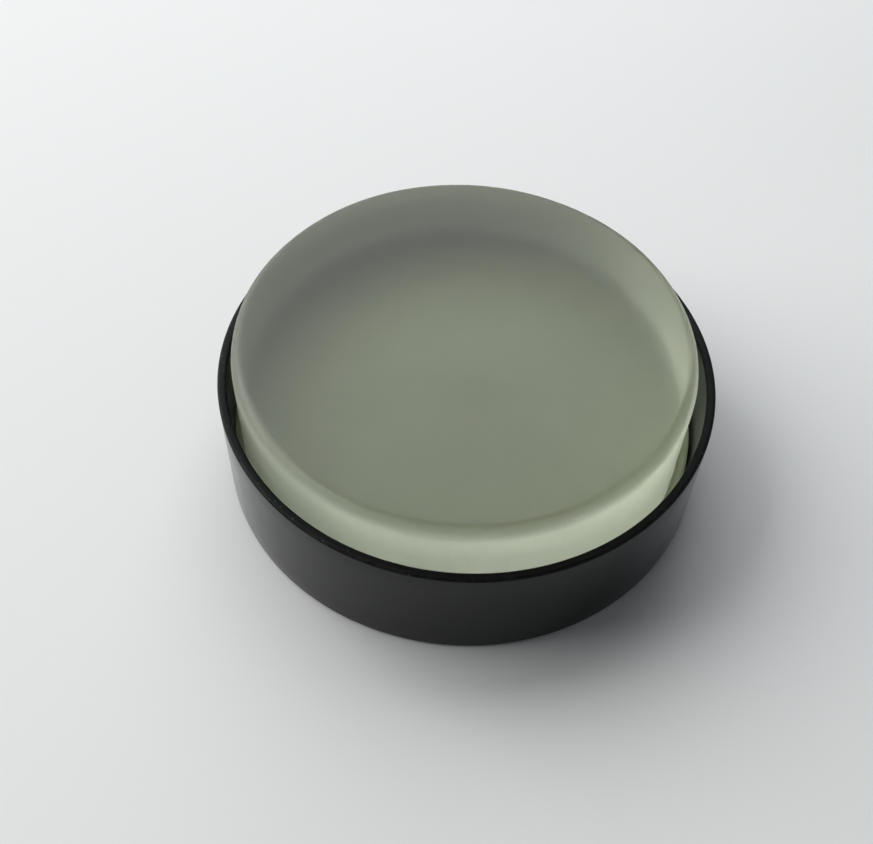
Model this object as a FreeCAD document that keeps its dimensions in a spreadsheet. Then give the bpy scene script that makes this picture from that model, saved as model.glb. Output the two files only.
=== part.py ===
import FreeCAD, Part
import math
import os
import Sketcher

# A ground-glass survey disc standing in its shallow moulded cap.
# Millimetres. +Z is up, along the axis of the cap.
# The origin is the centre of the cap's underside.
#
# From the floor up: the cap, a felt pad on its floor, a rubber ring that
# lies round the pad and steadies the glass, and the glass itself. All but
# the cap are loose: the ring and its pad lie against the cap's -X side, and
# the glass lies against the ring's -X side.

SHEET = "sizes"

# Driving dimensions. Every other size is a sum of these.
DRIVING = (
    ("glass_radius", 31.25),
    ("glass_thickness", 19.5),
    ("glass_top_round", 1.8),
    ("glass_foot_round", 1.8),
    ("glass_clearance", 0.3),
    ("ring_wall", 0.95),
    ("ring_height", 5.85),
    ("ring_lip_width", 1.55),
    ("ring_lip_drop", 0.3),
    ("ring_lead_in", 0.5),
    ("ring_foot_round", 0.5),
    ("ring_clearance", 0.25),
    ("side_gap", 0.05),
    ("cap_wall", 1.25),
    ("cap_floor", 1.5),
    ("cap_height", 17.3),
    ("cap_foot_round", 0.6),
    ("cap_rim_round", 0.4),
    ("cap_corner_round", 0.4),
    ("pad_thickness", 2.0),
    ("pad_edge_round", 0.4),
    ("pad_clearance", 0.35),
    ("stack_gap", 0.05),
)

# Sizes that several pieces share, as sums of driving dimensions.
RING_BORE = ("glass_radius", "glass_clearance")
RING_RADIUS = RING_BORE + ("ring_wall",)
LIP_BORE = RING_BORE + ("-ring_lip_width",)
CAP_BORE = RING_RADIUS + ("ring_clearance",)
CAP_RADIUS = CAP_BORE + ("cap_wall",)
PAD_RADIUS = LIP_BORE + ("-pad_clearance",)
SEAT_LEVEL = ("cap_floor", "stack_gap")
GLASS_LEVEL = SEAT_LEVEL + ("pad_thickness", "stack_gap")
RING_SHIFT = ("side_gap", "-ring_clearance")
GLASS_SHIFT = RING_SHIFT + ("side_gap", "-glass_clearance")
ABOVE_LIP = ("ring_height", "-pad_thickness", "ring_lip_drop")

SAME = 1e-4         # two lengths closer than this are one length
CUT_MATCH = 1e-3    # largest share by which a cut may miss its volume

doc = FreeCAD.newDocument("survey_disc")


def make_sheet():
    """Write the driving dimensions into a spreadsheet, one alias each."""
    sheet = doc.addObject("Spreadsheet::Sheet", SHEET)
    for row, (name, value) in enumerate(DRIVING, start=1):
        sheet.set(f"A{row}", name)
        sheet.set(f"B{row}", str(value))
        sheet.setAlias(f"B{row}", name)
    doc.recompute()
    return sheet


def formula(names):
    """A sum of named sizes as a sheet formula; a leading minus takes one away."""
    terms = [f"- {SHEET}.{name[1:]}" if name[0] == "-" else f"+ {SHEET}.{name}" for name in names]
    return " ".join(terms).removeprefix("+ ")


def amount(names):
    """The same sum as a number, read from the sheet."""
    return sum(-sheet.get(name[1:]) if name[0] == "-" else sheet.get(name) for name in names)


def make_body(label):
    """A named body at the origin."""
    body = doc.addObject("PartDesign::Body", label)
    body.Label = label
    return body


def make_loose_body(label, level, shift):
    """A named body that stands on the given level, pushed to the -X side."""
    body = make_body(label)
    body.setExpression(".Placement.Base.x", formula(shift))
    body.setExpression(".Placement.Base.z", formula(level))
    return body


def circle_on(body, name, radius, level=()):
    """A sketch of one circle about the axis, raised from the body's own XY plane."""
    plane = next(item for item in body.Origin.OriginFeatures if item.Role == "XY_Plane")
    sketch = body.newObject("Sketcher::SketchObject", name)
    sketch.AttachmentSupport = [(plane, "")]
    sketch.MapMode = "FlatFace"
    if level:
        sketch.setExpression(".AttachmentOffset.Base.z", formula(level))
    circle = Part.Circle(FreeCAD.Vector(), FreeCAD.Vector(0, 0, 1), amount(radius))
    edge = sketch.addGeometry(circle, False)
    sketch.addConstraint(Sketcher.Constraint("Coincident", edge, 3, -1, 1))
    size = sketch.addConstraint(Sketcher.Constraint("Radius", edge, amount(radius)))
    sketch.renameConstraint(size, "radius")
    sketch.setExpression(".Constraints.radius", formula(radius))
    return sketch


def pad_up(body, name, radius, length):
    """A disc of the given radius and height, from the body's floor upwards."""
    feature = body.newObject("PartDesign::Pad", name)
    feature.Profile = circle_on(body, f"{name}_outline", radius)
    feature.setExpression("Length", formula(length))
    doc.recompute()
    return feature


def bore_down(body, name, radius, top, depth, within=()):
    """Cut a round hole down from a level, and check how much it removed.

    within is the radius of a hole that is already there, so that the
    material it took isn't counted twice.
    """
    volume_before = body.Shape.Volume
    feature = body.newObject("PartDesign::Pocket", name)
    feature.Profile = circle_on(body, f"{name}_outline", radius, top)
    feature.setExpression("Length", formula(depth))
    doc.recompute()
    removed = volume_before - body.Shape.Volume
    open_already = amount(within) if within else 0.0
    expected = math.pi * (amount(radius) ** 2 - open_already ** 2) * amount(depth)
    if abs(removed - expected) > CUT_MATCH * expected:
        raise RuntimeError(f"{name} removed {removed:.1f} mm3 and should remove {expected:.1f}")
    return feature


def round_edges(feature, radius, level):
    """Names of the circular edges with this radius at this height in the body."""
    names = []
    for number, edge in enumerate(feature.Shape.Edges, start=1):
        curve = edge.Curve
        if not isinstance(curve, Part.Circle):
            continue
        same_radius = abs(curve.Radius - radius) < SAME
        same_level = abs(curve.Center.z - level) < SAME
        if same_radius and same_level:
            names.append(f"Edge{number}")
    if not names:
        raise RuntimeError(f"no edge of radius {radius} at {level} on {feature.Label}")
    return names


def soften(body, name, kind, radius, level, size):
    """Fillet or chamfer one round edge of the body's newest feature."""
    base = body.Tip
    feature = body.newObject(f"PartDesign::{kind}", name)
    feature.Base = (base, round_edges(base, amount(radius), amount(level)))
    feature.setExpression("Radius" if kind == "Fillet" else "Size", formula(size))
    doc.recompute()
    return feature


def make_cap():
    """Thin-walled cap with a flat underside, softened foot, corner and rim."""
    body = make_body("cap_shell")
    pad_up(body, "cap_blank", CAP_RADIUS, ("cap_height",))
    bore_down(body, "cap_hollow", CAP_BORE, ("cap_height",), ("cap_height", "-cap_floor"))
    soften(body, "cap_foot", "Fillet", CAP_RADIUS, (), ("cap_foot_round",))
    soften(body, "cap_corner", "Fillet", CAP_BORE, ("cap_floor",), ("cap_corner_round",))
    soften(body, "rim_outside", "Fillet", CAP_RADIUS, ("cap_height",), ("cap_rim_round",))
    soften(body, "rim_inside", "Fillet", CAP_BORE, ("cap_height",), ("cap_rim_round",))
    return body


def make_pad():
    """Felt disc that lies inside the ring's lip and carries the glass."""
    body = make_loose_body("seat_pad", SEAT_LEVEL, RING_SHIFT)
    pad_up(body, "pad_disc", PAD_RADIUS, ("pad_thickness",))
    soften(body, "pad_lower_edge", "Fillet", PAD_RADIUS, (), ("pad_edge_round",))
    soften(body, "pad_upper_edge", "Fillet", PAD_RADIUS, ("pad_thickness",), ("pad_edge_round",))
    return body


def make_ring():
    """Rubber ring of L section: a wall round the glass and a lip round the pad."""
    body = make_loose_body("centring_ring", SEAT_LEVEL, RING_SHIFT)
    pad_up(body, "ring_blank", RING_RADIUS, ("ring_height",))
    bore_down(body, "lip_hole", LIP_BORE, ("ring_height",), ("ring_height",))
    bore_down(body, "glass_socket", RING_BORE, ("ring_height",), ABOVE_LIP, within=LIP_BORE)
    soften(body, "ring_foot", "Fillet", RING_RADIUS, (), ("ring_foot_round",))
    soften(body, "ring_mouth", "Chamfer", RING_BORE, ("ring_height",), ("ring_lead_in",))
    return body


def make_glass():
    """Thick round glass with both of its rims ground over."""
    body = make_loose_body("prism_glass", GLASS_LEVEL, GLASS_SHIFT)
    pad_up(body, "glass_blank", ("glass_radius",), ("glass_thickness",))
    soften(body, "glass_foot", "Fillet", ("glass_radius",), (), ("glass_foot_round",))
    soften(body, "glass_top", "Fillet", ("glass_radius",), ("glass_thickness",), ("glass_top_round",))
    return body


def check_model(bodies):
    """Stop if any object failed or any piece isn't one valid solid."""
    for item in doc.Objects:
        faults = [state for state in item.State if state in ("Invalid", "Error")]
        if faults:
            raise RuntimeError(f"{item.Label} is {', '.join(faults)}")
    for body in bodies:
        shape = body.Shape
        if shape.isNull() or not shape.isValid() or len(shape.Solids) != 1:
            raise RuntimeError(f"{body.Label} is not one valid solid")


def write_parts(bodies):
    """Write each piece to a file named after it."""
    os.makedirs("parts", exist_ok=True)
    for body in bodies:
        body.Shape.exportStep(os.path.join("parts", f"{body.Label}.step"))
        box = body.Shape.optimalBoundingBox()
        print(f"{body.Label}: {body.Shape.Volume:.1f} mm3, x {box.XMin:.2f} to {box.XMax:.2f},"
              f" z {box.ZMin:.2f} to {box.ZMax:.2f}")


sheet = make_sheet()
pieces = [make_cap(), make_pad(), make_ring(), make_glass()]
doc.recompute()
check_model(pieces)
write_parts(pieces)
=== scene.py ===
"""A ground-glass survey disc standing in its shallow black cap, on a pale table.

Every piece is a profile turned about its own axis, except the loose fibres of
the felt. Lengths are metres and angles are radians.
"""

import bpy
import numpy as np
from mathutils import Matrix, Vector


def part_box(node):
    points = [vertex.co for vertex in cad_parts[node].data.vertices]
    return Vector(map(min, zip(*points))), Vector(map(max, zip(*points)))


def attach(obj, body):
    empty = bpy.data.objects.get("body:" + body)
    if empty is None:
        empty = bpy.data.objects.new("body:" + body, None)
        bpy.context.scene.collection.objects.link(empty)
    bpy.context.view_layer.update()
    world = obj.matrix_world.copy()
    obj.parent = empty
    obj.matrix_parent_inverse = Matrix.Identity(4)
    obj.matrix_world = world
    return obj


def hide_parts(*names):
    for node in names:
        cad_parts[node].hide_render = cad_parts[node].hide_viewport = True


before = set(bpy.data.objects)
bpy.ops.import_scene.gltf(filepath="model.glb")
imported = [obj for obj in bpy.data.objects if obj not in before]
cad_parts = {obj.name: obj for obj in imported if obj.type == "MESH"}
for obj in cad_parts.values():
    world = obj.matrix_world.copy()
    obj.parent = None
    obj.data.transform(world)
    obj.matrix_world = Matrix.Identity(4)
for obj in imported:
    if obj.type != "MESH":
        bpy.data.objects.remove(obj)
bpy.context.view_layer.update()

MM = 0.001
TURN = 2 * np.pi

# ---------------------------------------------------------------- sizes from the frame

cap_low, cap_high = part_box("cap_shell")
glass_low, glass_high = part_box("prism_glass")
ring_low, ring_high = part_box("centring_ring")
pad_low, pad_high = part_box("seat_pad")

CAP_RADIUS = cap_high.x
CAP_HEIGHT = cap_high.z
CAP_AXIS = 0.0
GLASS_RADIUS = (glass_high.x - glass_low.x) / 2
GLASS_AXIS = (glass_high.x + glass_low.x) / 2
RING_RADIUS = (ring_high.x - ring_low.x) / 2
RING_AXIS = (ring_high.x + ring_low.x) / 2
PAD_RADIUS = (pad_high.x - pad_low.x) / 2
PAD_AXIS = (pad_high.x + pad_low.x) / 2

CAP_WALL = 1.25 * MM
CAP_FLOOR = 1.5 * MM
CAP_FOOT_ROUND = 0.6 * MM
CAP_RIM_ROUND = 0.4 * MM
CAP_CORNER_ROUND = 0.4 * MM
GATE_RADIUS = 2.5 * MM         # dimple under the cap, where the plastic came in
GATE_DEPTH = 0.25 * MM
GATE_STUB_RADIUS = 0.7 * MM
GATE_STUB_HEIGHT = 0.15 * MM
GATE_ROUND = 0.07 * MM

GLASS_EDGE_ROUND = 1.8 * MM
GLASS_EDGE_SWELL = 0.12 * MM   # how much the hand-ground edge rounding wanders
GLASS_COARSE_BAND = 0.6 * GLASS_EDGE_ROUND   # how far the coarser grinding comes in from the wall

RING_WALL = 0.95 * MM
RING_LIP_WIDTH = 1.55 * MM
RING_LIP_THICKNESS = 1.7 * MM
RING_FOOT_ROUND = 0.5 * MM
RING_LEAD_IN = 0.5 * MM
RING_SMALL_ROUND = 0.12 * MM
RING_FLASH = 0.05 * MM         # height of the parting line round the outside
RING_FLASH_HALF = 0.12 * MM

PAD_EDGE_ROUND = 0.4 * MM
PAD_DENT = 0.035 * MM          # how deep the felt's surface is pitted
PAD_CUT_WANDER = 0.10 * MM     # how unevenly the die cut its edge
PAD_CUT_BAND = 3 * MM          # how far in from the edge the cut pulls the felt
FIBRE_COUNT = 1400
FIBRE_STEPS = 6                # points along a fibre
FIBRE_SIDES = 3
FIBRE_THICKNESS = 0.028 * MM
FLAT_FIBRE = (1.2, 3.2)        # least and most length on the face, in mm
EDGE_FIBRE = (0.3, 0.9)        # the same out of the edge
EDGE_LEAN = (1.3, 1.5)         # least and most angle between an edge fibre and straight out

ROUND_STEPS = 256              # faces round a turned piece
ARC_STEPS = 8                  # faces round a softened edge
WAVE_DRIFT = 1300              # radians that a wander shifts in each metre

# ---------------------------------------------------------------- turned shapes


def softened(corners, radii):
    """A (radius, height) profile with each corner rounded.

    At a corner that turns by an angle t, an arc of radius r touches both runs
    r * tan(t / 2) from the corner. Its points are the arc's centre plus r
    times the unit direction that swings evenly from one run's normal to the
    other's.
    """
    corners = np.asarray(corners, float)
    points = [corners[:1]]
    for before, corner, after, radius in zip(corners, corners[1:], corners[2:], radii[1:]):
        if radius == 0:
            points.append(corner[None])
            continue
        into = (corner - before) / np.linalg.norm(corner - before)
        out = (after - corner) / np.linalg.norm(after - corner)
        turn = np.arctan2(into[0] * out[1] - into[1] * out[0], into @ out)
        normal = np.array([-into[1], into[0]]) * np.sign(turn)
        centre = corner - into * radius * np.tan(abs(turn) / 2) + normal * radius
        swing = np.linspace(0, turn, ARC_STEPS + 1)
        arc = np.stack([-normal[0] * np.cos(swing) + normal[1] * np.sin(swing),
                        -normal[0] * np.sin(swing) - normal[1] * np.cos(swing)], axis=1)
        points.append(centre + radius * arc)
    return np.concatenate(points + [corners[-1:]])


def even_runs(profile, longest):
    """The same profile with no step longer than `longest`."""
    steps = np.linalg.norm(np.diff(profile, axis=0), axis=1)
    counts = np.maximum(1, np.ceil(steps / longest).astype(int))
    pieces = [np.linspace(a, b, n, endpoint=False) for a, b, n in zip(profile, profile[1:], counts)]
    return np.concatenate(pieces + [profile[-1:]])


def waves(angle, place, counts, phases):
    """A smooth wander between about -1 and 1: the mean of sines of whole turns.

    Each term is sin(count * angle + phase + drift * place), so it closes on
    itself after one turn and shifts as `place`, a length, changes.
    """
    terms = [np.sin(count * angle + phase + WAVE_DRIFT * place)
             for count, phase in zip(counts, phases)]
    return sum(terms) / len(terms) * np.sqrt(2)


def add_piece(name, vertices, faces, body):
    """Put a mesh into the scene as one smooth-shaded piece that rides on a body."""
    mesh = bpy.data.meshes.new(name)
    mesh.from_pydata(vertices, [], faces)
    mesh.shade_smooth()
    piece = bpy.data.objects.new(name, mesh)
    bpy.context.scene.collection.objects.link(piece)
    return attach(piece, body)


def turned(name, profile, axis_x, body, closed=False, shift=None):
    """A solid of revolution: profile (r, z) swept once round an upright axis.

    A point is (axis + r cos a, r sin a, z) for a from 0 to a whole turn. An
    open profile starts and ends on the axis, and each end is closed by one
    pole vertex; a closed profile joins its end to its start, as in a ring.
    shift, when it is given, moves the grid: it takes the arrays r, a and z and
    returns the new r and z.
    """
    angle = np.arange(ROUND_STEPS) * (TURN / ROUND_STEPS)
    rings = profile if closed else profile[1:-1]
    r, a = np.meshgrid(rings[:, 0], angle, indexing="ij")
    z = np.repeat(rings[:, 1:2], ROUND_STEPS, axis=1)
    if shift is not None:
        r, z = shift(r, a, z)
    grid = np.stack([axis_x + r * np.cos(a), r * np.sin(a), z], axis=-1)
    vertices = grid.reshape(-1, 3)
    count = len(rings)
    rows = np.arange(count if closed else count - 1)[:, None]
    column = np.arange(ROUND_STEPS)[None, :]
    beyond = (rows + 1) % count
    beside = (column + 1) % ROUND_STEPS
    quads = np.stack([rows * ROUND_STEPS + column, rows * ROUND_STEPS + beside,
                      beyond * ROUND_STEPS + beside, beyond * ROUND_STEPS + column], axis=-1)
    faces = quads.reshape(-1, 4).tolist()
    if not closed:
        poles = [[axis_x, 0.0, profile[0, 1]], [axis_x, 0.0, profile[-1, 1]]]
        first, second = len(vertices), len(vertices) + 1
        vertices = np.concatenate([vertices, poles])
        last_row = (count - 1) * ROUND_STEPS
        column, beside = column[0], beside[0]
        faces += np.stack([np.full(ROUND_STEPS, first), beside, column], axis=-1).tolist()
        faces += np.stack([np.full(ROUND_STEPS, second), last_row + column, last_row + beside],
                          axis=-1).tolist()
    return add_piece(name, vertices.tolist(), faces, body)


# ---------------------------------------------------------------- the pieces


def share_out(mesh, axis_x, finish_at):
    """Number each face's material: finish_at takes its centre's radius and height."""
    centres = np.empty(len(mesh.polygons) * 3)
    mesh.polygons.foreach_get("center", centres)
    x, y, z = centres.reshape(-1, 3).T
    numbers = finish_at(np.hypot(x - axis_x, y), z)
    mesh.polygons.foreach_set("material_index", numbers.astype(np.int32))


def make_cap():
    """The moulded cap: underside with its gate dimple, outer wall, rim, inner wall and floor."""
    inner = CAP_RADIUS - CAP_WALL
    stub = GATE_DEPTH - GATE_STUB_HEIGHT
    corners = [(0, stub), (GATE_STUB_RADIUS, stub), (GATE_STUB_RADIUS, GATE_DEPTH),
               (GATE_RADIUS, GATE_DEPTH), (GATE_RADIUS, 0), (CAP_RADIUS, 0),
               (CAP_RADIUS, CAP_HEIGHT), (inner, CAP_HEIGHT), (inner, CAP_FLOOR), (0, CAP_FLOOR)]
    radii = [0, GATE_ROUND, GATE_ROUND, GATE_ROUND, GATE_ROUND, CAP_FOOT_ROUND,
             CAP_RIM_ROUND, CAP_RIM_ROUND, CAP_CORNER_ROUND, 0]
    piece = turned("cap_moulding", even_runs(softened(corners, radii), 3 * MM), CAP_AXIS, "cap")

    def finish_at(r, z):
        """0 outside, 1 inside, 2 on the rim."""
        inside = (r < inner + 0.01 * MM) & (z > CAP_FLOOR / 2)
        return np.where(z > CAP_HEIGHT - CAP_RIM_ROUND, 2, inside)

    share_out(piece.data, CAP_AXIS, finish_at)
    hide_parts("cap_shell")
    return piece


def hand_ground(r, a, z):
    """Let both rounded rims of the glass wander a little, as a hand-ground edge does.

    A point between the flat faces and the wall moves inwards by the swell
    times a hump that is 1 half-way round the rounding and 0 at its two ends.
    """
    depth = np.minimum(glass_high.z - z, z - glass_low.z)
    along = np.clip(depth / GLASS_EDGE_ROUND, 0, 1)
    hump = np.sin(np.pi * along) * np.clip((r - GLASS_RADIUS) / GLASS_EDGE_ROUND + 1, 0, 1)
    wander = waves(a, 0, (2, 5, 9), (0.4, 1.9, 4.4))
    return r - GLASS_EDGE_SWELL * hump * (0.5 + 0.5 * wander), z


def make_glass():
    """The ground glass disc."""
    corners = [(0, glass_low.z), (GLASS_RADIUS, glass_low.z), (GLASS_RADIUS, glass_high.z),
               (0, glass_high.z)]
    radii = [0, GLASS_EDGE_ROUND, GLASS_EDGE_ROUND, 0]
    profile = even_runs(softened(corners, radii), 2 * MM)
    piece = turned("ground_disc", profile, GLASS_AXIS, "glass", shift=hand_ground)
    share_out(piece.data, GLASS_AXIS, lambda r, z: r > GLASS_RADIUS - GLASS_COARSE_BAND)
    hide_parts("prism_glass")
    return piece


def make_ring():
    """The L-section rubber ring, with the parting line of its mould round the outside."""
    bore = RING_RADIUS - RING_WALL
    lip = bore - RING_LIP_WIDTH
    lip_top = ring_low.z + RING_LIP_THICKNESS
    outside = RING_RADIUS - RING_FLASH
    middle = (ring_low.z + ring_high.z) / 2
    corners = [((lip + bore) / 2, ring_low.z), (outside, ring_low.z),
               (outside, middle - RING_FLASH_HALF), (RING_RADIUS, middle),
               (outside, middle + RING_FLASH_HALF), (outside, ring_high.z),
               (bore + RING_LEAD_IN, ring_high.z), (bore, ring_high.z - RING_LEAD_IN),
               (bore, lip_top), (lip, lip_top), (lip, ring_low.z), ((lip + bore) / 2, ring_low.z)]
    radii = [0, RING_FOOT_ROUND, 0, 0, 0, RING_SMALL_ROUND, RING_SMALL_ROUND, RING_SMALL_ROUND,
             RING_SMALL_ROUND, RING_SMALL_ROUND, RING_SMALL_ROUND, 0]
    profile = even_runs(softened(corners, radii), 1.5 * MM)[:-1]
    piece = turned("rubber_ring", profile, RING_AXIS, "ring", closed=True)
    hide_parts("centring_ring")
    return piece


def die_cut(r, a, z):
    """Pit the felt's two faces and let its cut edge wander.

    The faces only sink, never rise, by up to the dent times a wander that
    changes with both the angle and the radius. The edge moves inwards by up
    to its own wander, more the nearer a point is to the edge.
    """
    outward = waves(a, r, (7, 16, 29), (0.3, 2.2, 5.1))
    inward = waves(a, -r, (11, 23), (1.7, 3.9))
    pits = 0.5 + 0.25 * outward + 0.25 * inward
    middle = (pad_low.z + pad_high.z) / 2
    near_edge = np.clip((r - PAD_RADIUS) / PAD_CUT_BAND + 1, 0, 1) ** 2
    wander = 0.5 + 0.5 * waves(a, z, (3, 8, 19, 41), (0.9, 2.8, 4.0, 5.6))
    return r - PAD_CUT_WANDER * near_edge * wander, z - np.sign(z - middle) * PAD_DENT * pits


def make_pad():
    """The felt disc under the glass."""
    corners = [(0, pad_low.z), (PAD_RADIUS, pad_low.z), (PAD_RADIUS, pad_high.z), (0, pad_high.z)]
    profile = even_runs(softened(corners, [0, PAD_EDGE_ROUND, PAD_EDGE_ROUND, 0]), 0.6 * MM)
    piece = turned("felt_pad", profile, PAD_AXIS, "pad", shift=die_cut)
    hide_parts("seat_pad")
    return piece


def make_fibres():
    """Loose wool fibres that lie on the felt's upper face and stand out of its cut edge.

    Fibre i is a short arc: from its root it runs a length L in the direction
    d and bends sideways by b * (s - s * s), with s from 0 to 1 along it. A
    triangle of the fibre's thickness is carried along the arc, and both ends
    taper to a point. The first half lie flat on the face, between the pits,
    and the rest lean out of the edge.
    """
    draw = np.random.default_rng(7)
    flat = np.arange(FIBRE_COUNT) < FIBRE_COUNT // 2
    bearing = draw.uniform(0, TURN, FIBRE_COUNT)
    reach = np.where(flat, PAD_RADIUS * 0.97 * np.sqrt(draw.uniform(0, 1, FIBRE_COUNT)),
                     PAD_RADIUS - PAD_CUT_WANDER)
    level = np.where(flat, pad_high.z - 0.4 * FIBRE_THICKNESS,
                     draw.uniform(pad_low.z + PAD_EDGE_ROUND, pad_high.z - PAD_EDGE_ROUND, FIBRE_COUNT))
    length = np.where(flat, draw.uniform(*FLAT_FIBRE, FIBRE_COUNT),
                      draw.uniform(*EDGE_FIBRE, FIBRE_COUNT)) * MM
    heading = np.where(flat, draw.uniform(0, TURN, FIBRE_COUNT),
                       bearing + draw.choice([-1, 1], FIBRE_COUNT) * draw.uniform(*EDGE_LEAN, FIBRE_COUNT))
    bend = draw.uniform(-0.5, 0.5, FIBRE_COUNT) * length

    s = np.linspace(0, 1, FIBRE_STEPS)[None, :]
    ahead = np.stack([np.cos(heading), np.sin(heading)], axis=1)[:, None, :]
    aside = np.stack([-np.sin(heading), np.cos(heading)], axis=1)[:, None, :]
    root = reach[:, None] * np.stack([np.cos(bearing), np.sin(bearing)], axis=1)
    line = root[:, None, :] + ahead * (length[:, None] * s)[..., None] \
        + aside * (bend[:, None] * (s - s * s))[..., None]

    thick = FIBRE_THICKNESS * 0.5 * np.clip(4 * np.minimum(s, 1 - s), 0.08, 1)
    spin = np.arange(FIBRE_SIDES) * (TURN / FIBRE_SIDES) + np.pi / 2
    sideways = thick[..., None] * np.cos(spin)
    upwards = thick[..., None] * np.sin(spin)
    across = line[:, :, None, :] + aside[:, :, None, :] * sideways[..., None]
    height = np.broadcast_to(level[:, None, None] + upwards, across.shape[:3])
    vertices = np.concatenate([across, height[..., None]], axis=-1)
    vertices[..., 0] += PAD_AXIS

    per_fibre = FIBRE_STEPS * FIBRE_SIDES
    start = (np.arange(FIBRE_COUNT) * per_fibre)[:, None, None]
    ring = (np.arange(FIBRE_STEPS - 1) * FIBRE_SIDES)[None, :, None]
    side = np.arange(FIBRE_SIDES)[None, None, :]
    following = (side + 1) % FIBRE_SIDES
    quads = np.stack([start + ring + side, start + ring + following,
                      start + ring + FIBRE_SIDES + following, start + ring + FIBRE_SIDES + side], axis=-1)
    near_end = (start[:, :, 0] + np.arange(FIBRE_SIDES)[::-1]).tolist()
    far_end = (start[:, :, 0] + per_fibre - FIBRE_SIDES + np.arange(FIBRE_SIDES)).tolist()
    faces = quads.reshape(-1, 4).tolist() + near_end + far_end
    piece = add_piece("felt_fibres", vertices.reshape(-1, 3).tolist(), faces, "pad")
    return piece


# ---------------------------------------------------------------- node building


def add_node(tree, kind, inputs=None, **settings):
    """Add a node and set its properties; each input gets a link from a socket, or a value."""
    made = tree.nodes.new(kind)
    for name, value in settings.items():
        setattr(made, name, value)
    for key, value in (inputs or {}).items():
        if isinstance(value, bpy.types.NodeSocket):
            tree.links.new(value, made.inputs[key])
        else:
            made.inputs[key].default_value = value
    return made


def maths(tree, operation, first, second=0.0, clamp=False):
    """One Math node's result."""
    return add_node(tree, "ShaderNodeMath", {0: first, 1: second}, operation=operation,
                    use_clamp=clamp).outputs[0]


def ramped(tree, value, low, high, to_low=0.0, to_high=1.0):
    """value taken smoothly from the range low..high to the range to_low..to_high."""
    return add_node(tree, "ShaderNodeMapRange", {"Value": value, "From Min": low, "From Max": high,
                                                 "To Min": to_low, "To Max": to_high},
                    interpolation_type="SMOOTHSTEP").outputs["Result"]


def mixed(tree, share, first, second):
    """A colour between first and second."""
    node = add_node(tree, "ShaderNodeMix", {"Factor": share}, data_type="RGBA")
    for socket, value in ((node.inputs[6], first), (node.inputs[7], second)):
        if isinstance(value, bpy.types.NodeSocket):
            tree.links.new(value, socket)
        else:
            socket.default_value = (*value, 1)
    return node.outputs[2]


def noise(tree, place, scale, detail=2.0, roughness=0.5):
    """A noise texture's value, about 0.5 on average."""
    return add_node(tree, "ShaderNodeTexNoise", {"Vector": place, "Scale": scale, "Detail": detail,
                                                 "Roughness": roughness}).outputs["Fac"]


def new_group(name, inputs, outputs):
    """An empty shader group; inputs are (name, starting value), outputs are names."""
    group = bpy.data.node_groups.new(name, "ShaderNodeTree")
    for label, value in inputs:
        vector = value is None
        socket = group.interface.new_socket(name=label, in_out="INPUT",
                                            socket_type="NodeSocketVector" if vector else "NodeSocketFloat")
        if not vector:
            socket.default_value = value
    for label in outputs:
        group.interface.new_socket(name=label, in_out="OUTPUT", socket_type="NodeSocketFloat")
    return group, group.nodes.new("NodeGroupInput").outputs, group.nodes.new("NodeGroupOutput").inputs


def place_group(tree, group, **inputs):
    """Put a group into a material with its own values, and give its outputs."""
    node = add_node(tree, "ShaderNodeGroup", node_tree=group)
    for label, value in inputs.items():
        socket = node.inputs[label.replace("_", " ")]
        if isinstance(value, bpy.types.NodeSocket):
            tree.links.new(value, socket)
        else:
            socket.default_value = value
    return node.outputs


# ---------------------------------------------------------------- effects shared by the materials


def make_grain_group():
    """Fine grain and slow clouds: two noises, each with the width of its own spots in metres."""
    group, given, result = new_group("fine_grain", [("Place", None), ("Grain width", 0.1 * MM),
                                                    ("Cloud width", 8 * MM)], ["Grain", "Clouds"])
    fine = noise(group, given["Place"], maths(group, "DIVIDE", 1.0, given["Grain width"]), 3.0, 0.6)
    slow = noise(group, given["Place"], maths(group, "DIVIDE", 1.0, given["Cloud width"]), 3.0)
    group.links.new(fine, result["Grain"])
    group.links.new(ramped(group, slow, 0.3, 0.7), result["Clouds"])
    return group


def distance_out(tree, place):
    """The distance of a place from the upright axis, and its height."""
    parts = add_node(tree, "ShaderNodeSeparateXYZ", {0: place}).outputs
    flat = add_node(tree, "ShaderNodeCombineXYZ", {0: parts["X"], 1: parts["Y"]}).outputs[0]
    length = add_node(tree, "ShaderNodeVectorMath", {0: flat}, operation="LENGTH").outputs["Value"]
    return length, parts["Z"], flat


def make_edge_group():
    """A band along a round edge, used for wear, for painted shade and for a painted highlight: 1 on the
    circle of that radius and height, 0 beyond the width.

    The distance to the circle is the length of (r - radius, z - height), and
    a noise breaks the mask up by the given share.
    """
    group, given, result = new_group("edge_band", [("Place", None), ("Radius", 30 * MM), ("Height", 0.0),
                                                   ("Width", 1 * MM), ("Broken", 0.5)], ["Mask"])
    out, up, _ = distance_out(group, given["Place"])
    away = add_node(group, "ShaderNodeCombineXYZ", {0: maths(group, "SUBTRACT", out, given["Radius"]),
                                                    1: maths(group, "SUBTRACT", up, given["Height"])})
    distance = add_node(group, "ShaderNodeVectorMath", {0: away.outputs[0]}, operation="LENGTH")
    near = ramped(group, maths(group, "DIVIDE", distance.outputs["Value"], given["Width"]), 1.0, 0.0)
    patches = ramped(group, noise(group, given["Place"], 900.0, 4.0, 0.65), 0.42, 0.62)
    gaps = maths(group, "MULTIPLY", given["Broken"], maths(group, "SUBTRACT", 1.0, patches))
    kept = maths(group, "SUBTRACT", 1.0, gaps, clamp=True)
    group.links.new(maths(group, "MULTIPLY", near, kept), result["Mask"])
    return group


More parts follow.
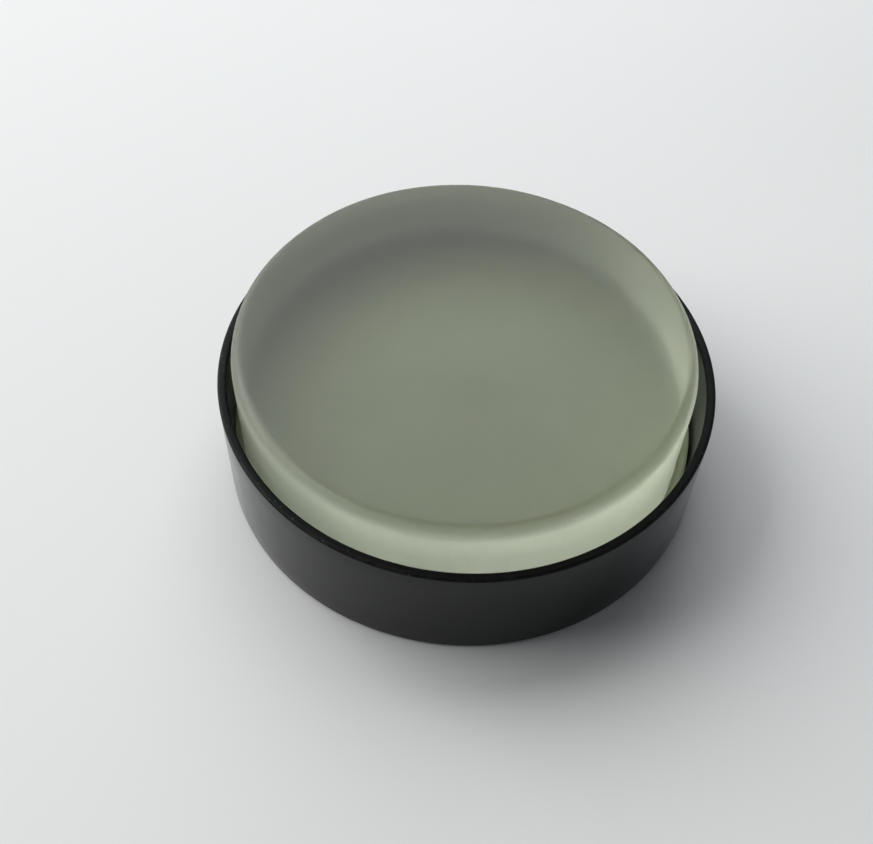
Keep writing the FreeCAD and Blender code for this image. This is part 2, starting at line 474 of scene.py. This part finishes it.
def make_dust_group():
    """Dust that settles where a surface looks up: small specks, thicker in drifts.

    A speck is a cell of a cell pattern nearer to its centre than a fifth of
    a cell, kept only where the cell's own random number is under the share.
    """
    group, given, result = new_group("settled_dust", [("Place", None), ("Speck width", 0.25 * MM),
                                                      ("Share", 0.1)], ["Mask"])
    cells = add_node(group, "ShaderNodeTexVoronoi",
                     {"Vector": given["Place"], "Scale": maths(group, "DIVIDE", 1.0, given["Speck width"])})
    speck = ramped(group, cells.outputs["Distance"], 0.28, 0.12)
    chance = add_node(group, "ShaderNodeSeparateColor", {0: cells.outputs["Color"]}).outputs[0]
    drift = ramped(group, noise(group, given["Place"], 120.0, 2.0), 0.35, 0.7, 0.3, 1.6)
    kept = maths(group, "LESS_THAN", chance, maths(group, "MULTIPLY", given["Share"], drift))
    facing = add_node(group, "ShaderNodeSeparateXYZ",
                      {0: add_node(group, "ShaderNodeNewGeometry").outputs["Normal"]}).outputs["Z"]
    level = ramped(group, facing, -0.2, 0.8, 0.15, 1.0)
    group.links.new(maths(group, "MULTIPLY", maths(group, "MULTIPLY", speck, kept), level), result["Mask"])
    return group


def make_streak_group():
    """Rubbed or ground streaks on a turned piece: a noise stretched round it or across it.

    The noise is read at (direction from the axis * radius / around, (r + z) /
    across), so a long Around gives streaks that follow the turning, and a
    long Across gives upright ones on a wall and radial ones on a face.
    """
    group, given, result = new_group("turned_streaks", [("Place", None), ("Radius", 30 * MM),
                                                        ("Around", 5 * MM), ("Across", 0.1 * MM),
                                                        ("Share", 0.2)], ["Mask"])
    out, up, flat = distance_out(group, given["Place"])
    direction = add_node(group, "ShaderNodeVectorMath", {0: flat}, operation="NORMALIZE").outputs[0]
    wide = add_node(group, "ShaderNodeVectorMath",
                    {0: direction, "Scale": maths(group, "DIVIDE", given["Radius"], given["Around"])},
                    operation="SCALE").outputs[0]
    parts = add_node(group, "ShaderNodeSeparateXYZ", {0: wide}).outputs
    tall = maths(group, "DIVIDE", maths(group, "ADD", out, up), given["Across"])
    stretched = add_node(group, "ShaderNodeCombineXYZ", {0: parts["X"], 1: parts["Y"], 2: tall}).outputs[0]
    value = noise(group, stretched, 1.0, 2.0)
    limit = ramped(group, given["Share"], 0.0, 1.0, 0.78, 0.35)
    above = maths(group, "MULTIPLY", maths(group, "SUBTRACT", value, limit), 8.0, clamp=True)
    group.links.new(above, result["Mask"])
    return group


grain_group = make_grain_group()
edge_group = make_edge_group()
dust_group = make_dust_group()
streak_group = make_streak_group()

# ---------------------------------------------------------------- materials


def principled(name, **sockets):
    """A material's node tree and its Principled BSDF, with the plain socket values set by name."""
    material = bpy.data.materials.new(name)
    material.use_nodes = True
    shader = material.node_tree.nodes["Principled BSDF"]
    for socket, value in sockets.items():
        shader.inputs[socket.replace("_", " ")].default_value = value
    return material, material.node_tree, shader


def place_about(tree, axis_x):
    """Object coordinates measured from a piece's own upright axis."""
    place = add_node(tree, "ShaderNodeTexCoord").outputs["Object"]
    return add_node(tree, "ShaderNodeMapping", {"Vector": place, "Location": (-axis_x, 0, 0)}).outputs[0]


def finish(tree, shader, colour, roughness, height, depth):
    """Feed a shader's colour and roughness, and its normal from a bump of the given depth."""
    tree.links.new(colour, shader.inputs["Base Color"])
    tree.links.new(roughness, shader.inputs["Roughness"])
    bump = add_node(tree, "ShaderNodeBump", {"Height": height, "Distance": depth})
    tree.links.new(bump.outputs[0], shader.inputs["Normal"])


def total(tree, base, *terms):
    """base plus each (value, weight) term."""
    result = base
    for value, weight in terms:
        result = maths(tree, "ADD", maths(tree, "MULTIPLY", value, weight), result)
    return result


def glass_material(name, clear, smooth):
    """Grey-green ground glass: cloudy tone, rims painted paler (edge wear, and along the top rim also a
    painted highlight of the rounding), faint upright streaks.

    The two faces are ground finer than the edge, so the clear share and smooth
    (the least roughness) differ between the two.
    """
    material, tree, shader = principled(name, IOR=1.5, Transmission_Weight=clear,
                                        Specular_IOR_Level=0.2)
    place = place_about(tree, GLASS_AXIS)
    grain = place_group(tree, grain_group, Place=place, Grain_width=0.11 * MM, Cloud_width=11 * MM)
    # Both rounded rims are painted paler: edge wear, and along the top rim also a painted highlight of the
    # rounding.
    inset = 0.4 * GLASS_EDGE_ROUND
    rims = [place_group(tree, edge_group, Place=place, Radius=GLASS_RADIUS - inset, Height=height,
                        Width=GLASS_EDGE_ROUND, Broken=0.25)["Mask"]
            for height in (glass_high.z - inset, glass_low.z + inset)]
    rim = maths(tree, "MAXIMUM", *rims)
    streaks = place_group(tree, streak_group, Place=place, Radius=GLASS_RADIUS, Around=0.5 * MM,
                          Across=14 * MM, Share=0.55)["Mask"]
    dust = place_group(tree, dust_group, Place=place, Speck_width=0.45 * MM, Share=0.05)["Mask"]
    cloudy = mixed(tree, grain["Clouds"], (0.82, 0.89, 0.69), (0.87, 0.93, 0.74))
    # Mix in the paler rims: wear, and along the top rim a painted highlight.
    worn = mixed(tree, maths(tree, "MULTIPLY", rim, 0.6), cloudy, (0.89, 0.93, 0.80))
    streaked = mixed(tree, maths(tree, "MULTIPLY", streaks, 0.12), worn, (0.70, 0.76, 0.62))
    colour = mixed(tree, maths(tree, "MULTIPLY", dust, 0.5), streaked, (0.90, 0.90, 0.86))
    roughness = total(tree, smooth, (grain["Clouds"], 0.04), (rim, 0.08), (streaks, 0.03), (dust, 0.2))
    height = total(tree, grain["Grain"], (streaks, 0.25))
    finish(tree, shader, colour, roughness, height, 0.004 * MM)
    return material


def cap_material(name, specular, polish):
    """Black plastic: handling marks, worn edges, settled dust.

    The mould is polished best outside, less inside, and not on the rim, so
    specular and polish (the least roughness) differ between the three.
    """
    material, tree, shader = principled(name, Specular_IOR_Level=specular)
    place = place_about(tree, CAP_AXIS)
    grain = place_group(tree, grain_group, Place=place, Grain_width=0.35 * MM, Cloud_width=7 * MM)
    edges = [place_group(tree, edge_group, Place=place, Radius=radius, Height=height, Width=0.5 * MM,
                         Broken=0.9)["Mask"]
             for radius, height in ((CAP_RADIUS, CAP_HEIGHT), (CAP_RADIUS - CAP_WALL, CAP_HEIGHT),
                                    (CAP_RADIUS, 0.0))]
    wear = maths(tree, "MAXIMUM", maths(tree, "MAXIMUM", edges[0], edges[1]), edges[2])
    marks = place_group(tree, streak_group, Place=place, Radius=CAP_RADIUS, Around=4 * MM,
                        Across=0.12 * MM, Share=0.16)["Mask"]
    dust = place_group(tree, dust_group, Place=place, Speck_width=0.4 * MM, Share=0.10)["Mask"]
    smudged = mixed(tree, grain["Clouds"], (0.0022, 0.0028, 0.0025), (0.0034, 0.0042, 0.0038))
    worn = mixed(tree, maths(tree, "MULTIPLY", wear, 0.5), smudged, (0.030, 0.033, 0.030))
    scuffed = mixed(tree, maths(tree, "MULTIPLY", marks, 0.25), worn, (0.020, 0.022, 0.021))
    colour = mixed(tree, maths(tree, "MULTIPLY", dust, 0.35), scuffed, (0.30, 0.30, 0.27))
    roughness = total(tree, polish, (grain["Clouds"], 0.07), (marks, 0.12), (dust, 0.3))
    height = total(tree, maths(tree, "MULTIPLY", grain["Grain"], 0.4), (marks, -0.5), (wear, -0.4))
    finish(tree, shader, colour, roughness, height, 0.006 * MM)
    return material


def ring_material():
    """Milky silicone rubber: satin, faintly mottled, with painted shade round its outer foot, down in the
    narrow gap by the cap wall.
    """
    material, tree, shader = principled("ring_rubber", IOR=1.41, Transmission_Weight=0.7)
    place = place_about(tree, RING_AXIS)
    grain = place_group(tree, grain_group, Place=place, Grain_width=0.16 * MM, Cloud_width=4 * MM)
    # Painted shade: a band round the ring's outer foot, in the narrow gap by the cap wall, is darkened.
    foot_shade_band = place_group(tree, edge_group, Place=place, Radius=RING_RADIUS, Height=ring_low.z,
                         Width=1.2 * MM, Broken=0.8)["Mask"]
    streaks = place_group(tree, streak_group, Place=place, Radius=RING_RADIUS, Around=3 * MM,
                          Across=0.15 * MM, Share=0.3)["Mask"]
    dust = place_group(tree, dust_group, Place=place, Speck_width=0.3 * MM, Share=0.12)["Mask"]
    milky = mixed(tree, grain["Clouds"], (0.63, 0.68, 0.55), (0.69, 0.72, 0.60))
    # Mix the painted shade into the colour at the foot.
    foot_shaded = mixed(tree, maths(tree, "MULTIPLY", foot_shade_band, 0.5), milky, (0.40, 0.40, 0.33))
    colour = mixed(tree, maths(tree, "MULTIPLY", dust, 0.6), foot_shaded, (0.50, 0.50, 0.46))
    roughness = total(tree, 0.46, (grain["Clouds"], 0.10), (streaks, 0.06), (dust, 0.2))
    height = total(tree, grain["Grain"], (streaks, 0.4))
    finish(tree, shader, colour, roughness, height, 0.012 * MM)
    return material


def felt_material():
    """Pressed wool felt: two sets of crossed fibres, mottled, matt, with a soft sheen."""
    material, tree, shader = principled("pad_felt", Specular_IOR_Level=0.2, Sheen_Weight=0.3,
                                        Sheen_Roughness=0.6)
    place = place_about(tree, PAD_AXIS)
    grain = place_group(tree, grain_group, Place=place, Grain_width=0.2 * MM, Cloud_width=3 * MM)
    around = place_group(tree, streak_group, Place=place, Radius=PAD_RADIUS, Around=1.6 * MM,
                         Across=0.11 * MM, Share=0.6)["Mask"]
    radial = place_group(tree, streak_group, Place=place, Radius=PAD_RADIUS, Around=0.12 * MM,
                         Across=1.4 * MM, Share=0.6)["Mask"]
    dust = place_group(tree, dust_group, Place=place, Speck_width=0.5 * MM, Share=0.05)["Mask"]
    mottled = mixed(tree, grain["Clouds"], (0.25, 0.255, 0.22), (0.31, 0.315, 0.27))
    shaded = mixed(tree, maths(tree, "MULTIPLY", grain["Grain"], 0.35), mottled, (0.20, 0.20, 0.17))
    crossed = maths(tree, "MAXIMUM", around, radial)
    woolly = mixed(tree, maths(tree, "MULTIPLY", crossed, 0.3), shaded, (0.46, 0.46, 0.41))
    colour = mixed(tree, dust, woolly, (0.20, 0.19, 0.17))
    roughness = total(tree, 0.88, (grain["Grain"], 0.1))
    height = total(tree, maths(tree, "MULTIPLY", grain["Grain"], 0.8), (around, 0.5), (radial, 0.5))
    finish(tree, shader, colour, roughness, height, 0.05 * MM)
    return material


cap = make_cap()
cap.data.materials.append(cap_material("cap_gloss", 0.25, 0.11))
cap.data.materials.append(cap_material("cap_inside", 0.9, 0.50))
cap.data.materials.append(cap_material("cap_rim", 0.11, 0.45))
glass = make_glass()
glass.data.materials.append(glass_material("ground_glass", 1.0, 0.33))
glass.data.materials.append(glass_material("ground_edge", 0.92, 0.38))
make_ring().data.materials.append(ring_material())
felt = felt_material()
make_pad().data.materials.append(felt)
make_fibres().data.materials.append(felt)

# ---------------------------------------------------------------- table, light, camera


def make_table():
    """A plain pale table top under the cap."""
    half = 1.2
    mesh = bpy.data.meshes.new("table_top")
    mesh.from_pydata([(-half, -half, 0), (half, -half, 0), (half, half, 0), (-half, half, 0)], [],
                     [(0, 1, 2, 3)])
    table = bpy.data.objects.new("table_top", mesh)
    bpy.context.scene.collection.objects.link(table)
    material, tree, shader = principled("table_white")
    place = place_about(tree, 0.0)
    grain = place_group(tree, grain_group, Place=place, Grain_width=0.4 * MM, Cloud_width=60 * MM)
    colour = mixed(tree, grain["Clouds"], (0.765, 0.782, 0.782), (0.780, 0.796, 0.798))
    finish(tree, shader, colour, total(tree, 0.55, (grain["Clouds"], 0.1)), grain["Grain"], 0.01 * MM)
    mesh.materials.append(material)


def add_soft_light(name, place, aim, size, power, colour):
    """A square area light at `place`, turned towards `aim`."""
    light = bpy.data.lights.new(name, "AREA")
    light.size = size
    light.energy = power
    light.color = colour
    lamp = bpy.data.objects.new(name, light)
    lamp.location = place
    lamp.rotation_euler = (Vector(aim) - Vector(place)).to_track_quat("-Z", "Y").to_euler()
    bpy.context.scene.collection.objects.link(lamp)


def add_camera():
    """The camera looks down at the cap, turned a little about its own line of sight.

    Its reach from the origin and its two small shifts are shares of the cap's radius.
    """
    pitch = np.radians(52.50)
    roll = np.radians(2.30)
    reach = 5.046 * CAP_RADIUS
    aside = -0.114 * CAP_RADIUS
    above = 0.0707 * CAP_RADIUS
    data = bpy.data.cameras.new("camera")
    data.lens = 47.42
    data.sensor_width = 36.0
    forward = Vector((0, np.cos(pitch), -np.sin(pitch)))
    upward = Vector((0, np.sin(pitch), np.cos(pitch)))
    camera = bpy.data.objects.new("camera", data)
    place = -forward * reach + Vector((aside, 0, 0)) + upward * above
    turn = Matrix.Rotation(np.pi / 2 - pitch, 4, "X") @ Matrix.Rotation(roll, 4, "Z")
    camera.matrix_world = Matrix.Translation(place) @ turn
    bpy.context.scene.collection.objects.link(camera)
    bpy.context.scene.camera = camera


def set_room(strength):
    """A pale room all round, seen only as light and reflection."""
    world = bpy.data.worlds.new("room")
    world.use_nodes = True
    background = world.node_tree.nodes["Background"]
    background.inputs["Color"].default_value = (0.93, 0.96, 1.0, 1)
    background.inputs["Strength"].default_value = strength
    bpy.context.scene.world = world


make_table()
add_soft_light("side_window", (-1.70, 0.50, 1.12), (0, 0, 0.01), 2.0, 44.5, (1.0, 0.985, 0.965))
add_soft_light("far_window", (-0.14, 0.60, 0.56), (0, 0, 0.01), 1.0, 6.1, (0.98, 0.99, 1.0))
set_room(0.13)
add_camera()
bpy.context.scene.view_settings.view_transform = "Standard"
